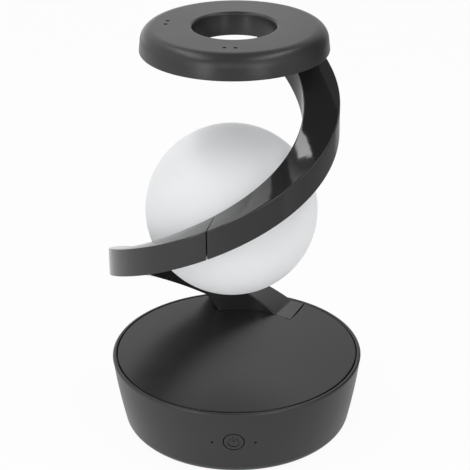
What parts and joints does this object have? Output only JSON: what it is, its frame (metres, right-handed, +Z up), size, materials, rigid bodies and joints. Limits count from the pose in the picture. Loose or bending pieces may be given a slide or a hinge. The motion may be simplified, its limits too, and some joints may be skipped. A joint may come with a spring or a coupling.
{
  "type": "spiral table lamp",
  "caption": "Table lamp with a tapered round base, a hollow arm that spirals up to a flat ring, a frosted globe held by the arm, and a push button on the base.",
  "frame": {"origin": "on the table under the middle of the base", "axes": "+Z up, -Y to the front where the button is, +X to the right seen from the front"},
  "size_m": [0.125, 0.125, 0.2092],
  "materials": {
    "housing_black": "fine satin moulded plastic",
    "lid_black": "smooth satin plastic with blurred reflections",
    "button_black": "satin plastic with a plain power sign",
    "arm_black": "polished black plastic",
    "cover_black": "matt moulded plastic",
    "foot_rubber": "matt rubber",
    "screw_steel": "plated steel",
    "plate_steel": "rolled steel",
    "cell_sleeve": "shrink sleeve",
    "board_green": "coated circuit board",
    "switch_grey": "moulded nylon",
    "switch_white": "moulded nylon",
    "light_pipe": "clear acrylic",
    "chip_black": "moulded chip",
    "wire_sheath": "soft wire sheath",
    "globe_white": "frosted opal diffuser",
    "post_aluminium": "turned aluminium",
    "chip_yellow": "phosphor over a light chip"
  },
  "bodies": {
    "lamp": {"base_housing": "housing_black", "ring_shell": "housing_black", "base_lid": "lid_black", "lower_arm": "arm_black", "upper_arm": "arm_black", "bottom_cover": "cover_black", "lower_arm_cover": "cover_black", "upper_arm_cover": "cover_black", "ring_cover": "cover_black", "globe_collar": "cover_black", "foot_pads": "foot_rubber", "bottom_screws": "screw_steel", "control_board_screws": "screw_steel", "inlet_screws": "screw_steel", "arm_foot_screws": "screw_steel", "arm_tongue_screws": "screw_steel", "arm_top_screws": "screw_steel", "ring_screws": "screw_steel", "globe_nut": "screw_steel", "usb_socket": "screw_steel", "ballast_plate": "plate_steel", "arm_foot_plate": "plate_steel", "battery_cell": "cell_sleeve", "control_board": "board_green", "inlet_board": "board_green", "ring_boards": "board_green", "switch_body": "switch_grey", "arm_tongue": "switch_grey", "wire_connector": "switch_white", "led_board": "switch_white", "indicator_light_pipes": "light_pipe", "ring_sensor_chips": "chip_black", "arm_wire": "wire_sheath", "globe": "globe_white", "led_post": "post_aluminium", "led_chips": "chip_yellow"},
    "button": {"power_button": "button_black", "switch_plunger": "switch_white"}
  },
  "joints": [
    {"name": "button_press", "type": "slide", "parent": "lamp", "child": "button", "axis": [0, 0.986, 0.1666], "range_m": [0, 0.0005], "stiffness_N_per_m": 400, "springref_m": -0.002}
  ]
}
